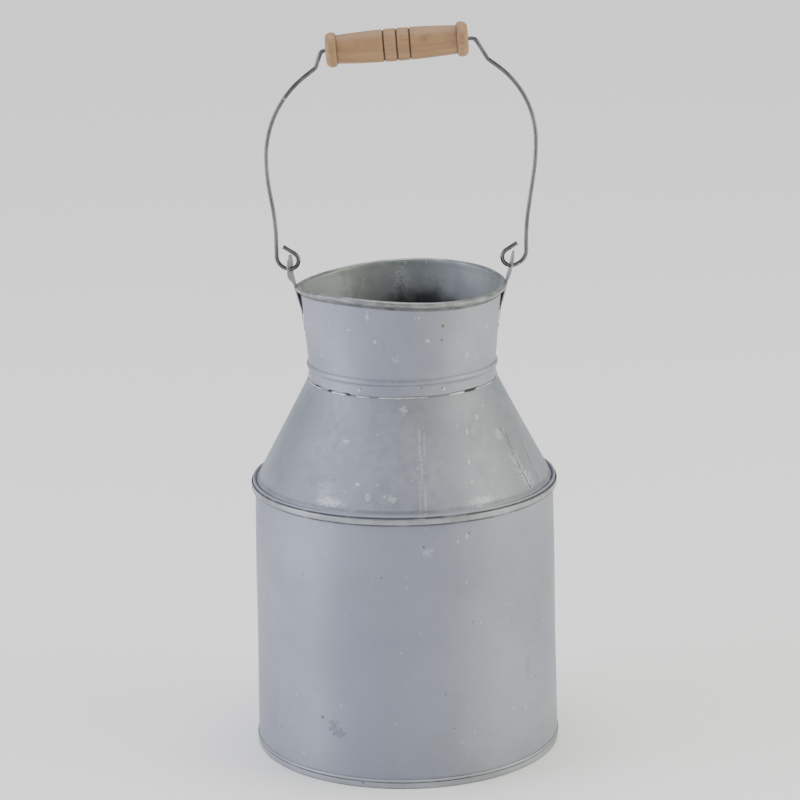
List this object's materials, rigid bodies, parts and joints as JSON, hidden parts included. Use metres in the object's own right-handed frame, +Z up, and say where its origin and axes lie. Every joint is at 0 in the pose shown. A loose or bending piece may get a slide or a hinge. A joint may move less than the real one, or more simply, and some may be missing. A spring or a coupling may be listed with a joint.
{
  "type": "milk can",
  "caption": "Sheet-steel milk can with a cylindrical body, conical shoulder, flared open neck, and a swinging wire bail with a turned wooden grip.",
  "frame": {"origin": "centre of the base ring, on the floor", "axes": "+Z up along the can's axis, +X towards one ear of the bail, -Y towards the viewer; the bail stands upright in the XZ plane"},
  "size_m": [0.2264, 0.2264, 0.5346],
  "materials": {
    "zinc_sheet": "matt weathered zinc",
    "zinc_strap": "matt weathered zinc",
    "zinc_rivet": "matt weathered zinc",
    "solder": "dull grey solder",
    "steel_wire": "drawn wire, worn bright",
    "grip_wood": "bare turned wood, worn smooth"
  },
  "bodies": {
    "can": {"body_shell": "zinc_sheet", "base_pan": "zinc_sheet", "shoulder_cone": "zinc_sheet", "neck_collar": "zinc_sheet", "rim_wire": "steel_wire", "collar_rivets": "zinc_rivet", "collar_solder": "solder", "ear_left": "zinc_strap", "ear_right": "zinc_strap", "ear_solder": "solder"},
    "bail": {"bail_wire": "steel_wire"},
    "grip": {"wooden_grip": "grip_wood"}
  },
  "joints": [
    {"name": "bail_swing", "type": "hinge", "parent": "can", "child": "bail", "pos_m": [0, 0, 0.358], "axis": [1, 0, 0], "range_deg": [-120, 120]},
    {"name": "grip_spin", "type": "hinge", "parent": "bail", "child": "grip", "pos_m": [0, 0, 0.519], "axis": [0.9977, 0, 0.0671], "continuous": true}
  ]
}
